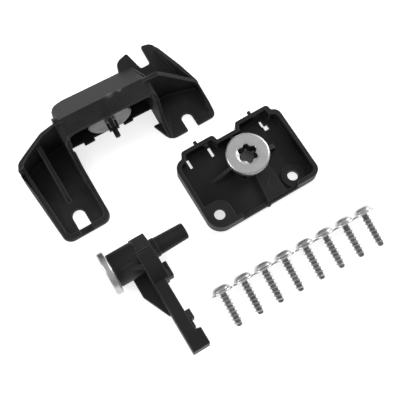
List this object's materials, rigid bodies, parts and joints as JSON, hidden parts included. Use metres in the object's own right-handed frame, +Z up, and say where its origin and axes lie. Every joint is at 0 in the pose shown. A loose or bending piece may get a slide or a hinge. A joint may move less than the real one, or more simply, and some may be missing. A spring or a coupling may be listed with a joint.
{
  "type": "latch bracket kit",
  "caption": "Unassembled bracket kit: hooded saddle bracket, mounting tray and lever arm, each with a flanged adjuster, plus washer-head screws for plastic.",
  "frame": {"origin": "bottom centre of the bounding box of the laid-out kit, on the bench top", "axes": "+Z up from the bench, +Y from the screws toward the saddle bracket's hood (longest extent), +X along the row of screws"},
  "size_m": [0.1284, 0.1424, 0.0256],
  "materials": {
    "black_plastic": "satin moulded",
    "clip_plastic": "smooth",
    "zinc_sleeve": "satin zinc",
    "grey_disc": "dull grey",
    "screw_zinc": "bright zinc",
    "insert_brass": "turned",
    "washer_steel": "plain"
  },
  "bodies": {
    "saddle": {"saddle_bracket": "black_plastic", "saddle_insert": "insert_brass"},
    "saddle_thrust": {"saddle_washer": "washer_steel"},
    "saddle_adjuster": {"saddle_disc": "grey_disc"},
    "saddle_clip": {"saddle_pin": "clip_plastic"},
    "tray": {"tray_plate": "black_plastic", "tray_insert": "insert_brass"},
    "tray_thrust": {"tray_washer": "washer_steel"},
    "tray_adjuster": {"tray_sleeve": "zinc_sleeve"},
    "lever": {"lever_arm": "black_plastic", "lever_insert": "insert_brass"},
    "lever_thrust": {"lever_washer": "washer_steel"},
    "lever_adjuster": {"lever_sleeve": "zinc_sleeve"},
    "screw_body_1": {"screw_1": "screw_zinc"},
    "screw_body_2": {"screw_2": "screw_zinc"},
    "screw_body_3": {"screw_3": "screw_zinc"},
    "screw_body_4": {"screw_4": "screw_zinc"},
    "screw_body_5": {"screw_5": "screw_zinc"},
    "screw_body_6": {"screw_6": "screw_zinc"},
    "screw_body_7": {"screw_7": "screw_zinc"},
    "screw_body_8": {"screw_8": "screw_zinc"}
  },
  "joints": [
    {"name": "tray_lift", "type": "slide", "parent": "saddle", "child": "tray", "axis": [0, 0, 1], "range_m": [0, 0.06]},
    {"name": "lever_lift", "type": "slide", "parent": "saddle", "child": "lever", "axis": [0, 0, 1], "range_m": [0, 0.06]},
    {"name": "screw_1_lift", "type": "slide", "parent": "saddle", "child": "screw_body_1", "axis": [0, 0, 1], "range_m": [0, 0.06]},
    {"name": "screw_2_lift", "type": "slide", "parent": "saddle", "child": "screw_body_2", "axis": [0, 0, 1], "range_m": [0, 0.06]},
    {"name": "screw_3_lift", "type": "slide", "parent": "saddle", "child": "screw_body_3", "axis": [0, 0, 1], "range_m": [0, 0.06]},
    {"name": "screw_4_lift", "type": "slide", "parent": "saddle", "child": "screw_body_4", "axis": [0, 0, 1], "range_m": [0, 0.06]},
    {"name": "screw_5_lift", "type": "slide", "parent": "saddle", "child": "screw_body_5", "axis": [0, 0, 1], "range_m": [0, 0.06]},
    {"name": "screw_6_lift", "type": "slide", "parent": "saddle", "child": "screw_body_6", "axis": [0, 0, 1], "range_m": [0, 0.06]},
    {"name": "screw_7_lift", "type": "slide", "parent": "saddle", "child": "screw_body_7", "axis": [0, 0, 1], "range_m": [0, 0.06]},
    {"name": "screw_8_lift", "type": "slide", "parent": "saddle", "child": "screw_body_8", "axis": [0, 0, 1], "range_m": [0, 0.06]},
    {"name": "tray_travel", "type": "slide", "parent": "tray", "child": "tray_thrust", "axis": [0, 0, 1], "range_m": [0, 0.00525]},
    {"name": "tray_turn", "type": "hinge", "parent": "tray_thrust", "child": "tray_adjuster", "pos_m": [0.02755, -0.00689, 0.012], "axis": [0, 0, 1], "range_deg": [0, 1080]},
    {"name": "lever_travel", "type": "slide", "parent": "lever", "child": "lever_thrust", "axis": [-1, 0, 0], "range_m": [0, 0.00525]},
    {"name": "lever_turn", "type": "hinge", "parent": "lever_thrust", "child": "lever_adjuster", "pos_m": [-0.05015, -0.02179, 0.01], "axis": [-1, 0, 0], "range_deg": [0, 1080]},
    {"name": "saddle_travel", "type": "slide", "parent": "saddle", "child": "saddle_thrust", "axis": [-0.0698, -0.9976, 0], "range_m": [0, 0.00175]},
    {"name": "saddle_turn", "type": "hinge", "parent": "saddle_thrust", "child": "saddle_adjuster", "pos_m": [-0.01705, 0.03881, 0.0129], "axis": [-0.0698, -0.9976, 0], "range_deg": [0, 360]},
    {"name": "saddle_pin_pull", "type": "slide", "parent": "saddle_adjuster", "child": "saddle_clip", "axis": [-0.0698, -0.9976, 0], "range_m": [0, 0.02]}
  ],
  "couplings": [
    {"joint": "tray_travel", "follows": "tray_turn", "m_per_rad": 0.00027852},
    {"joint": "lever_travel", "follows": "lever_turn", "m_per_rad": 0.00027852},
    {"joint": "saddle_travel", "follows": "saddle_turn", "m_per_rad": 0.00027852}
  ]
}
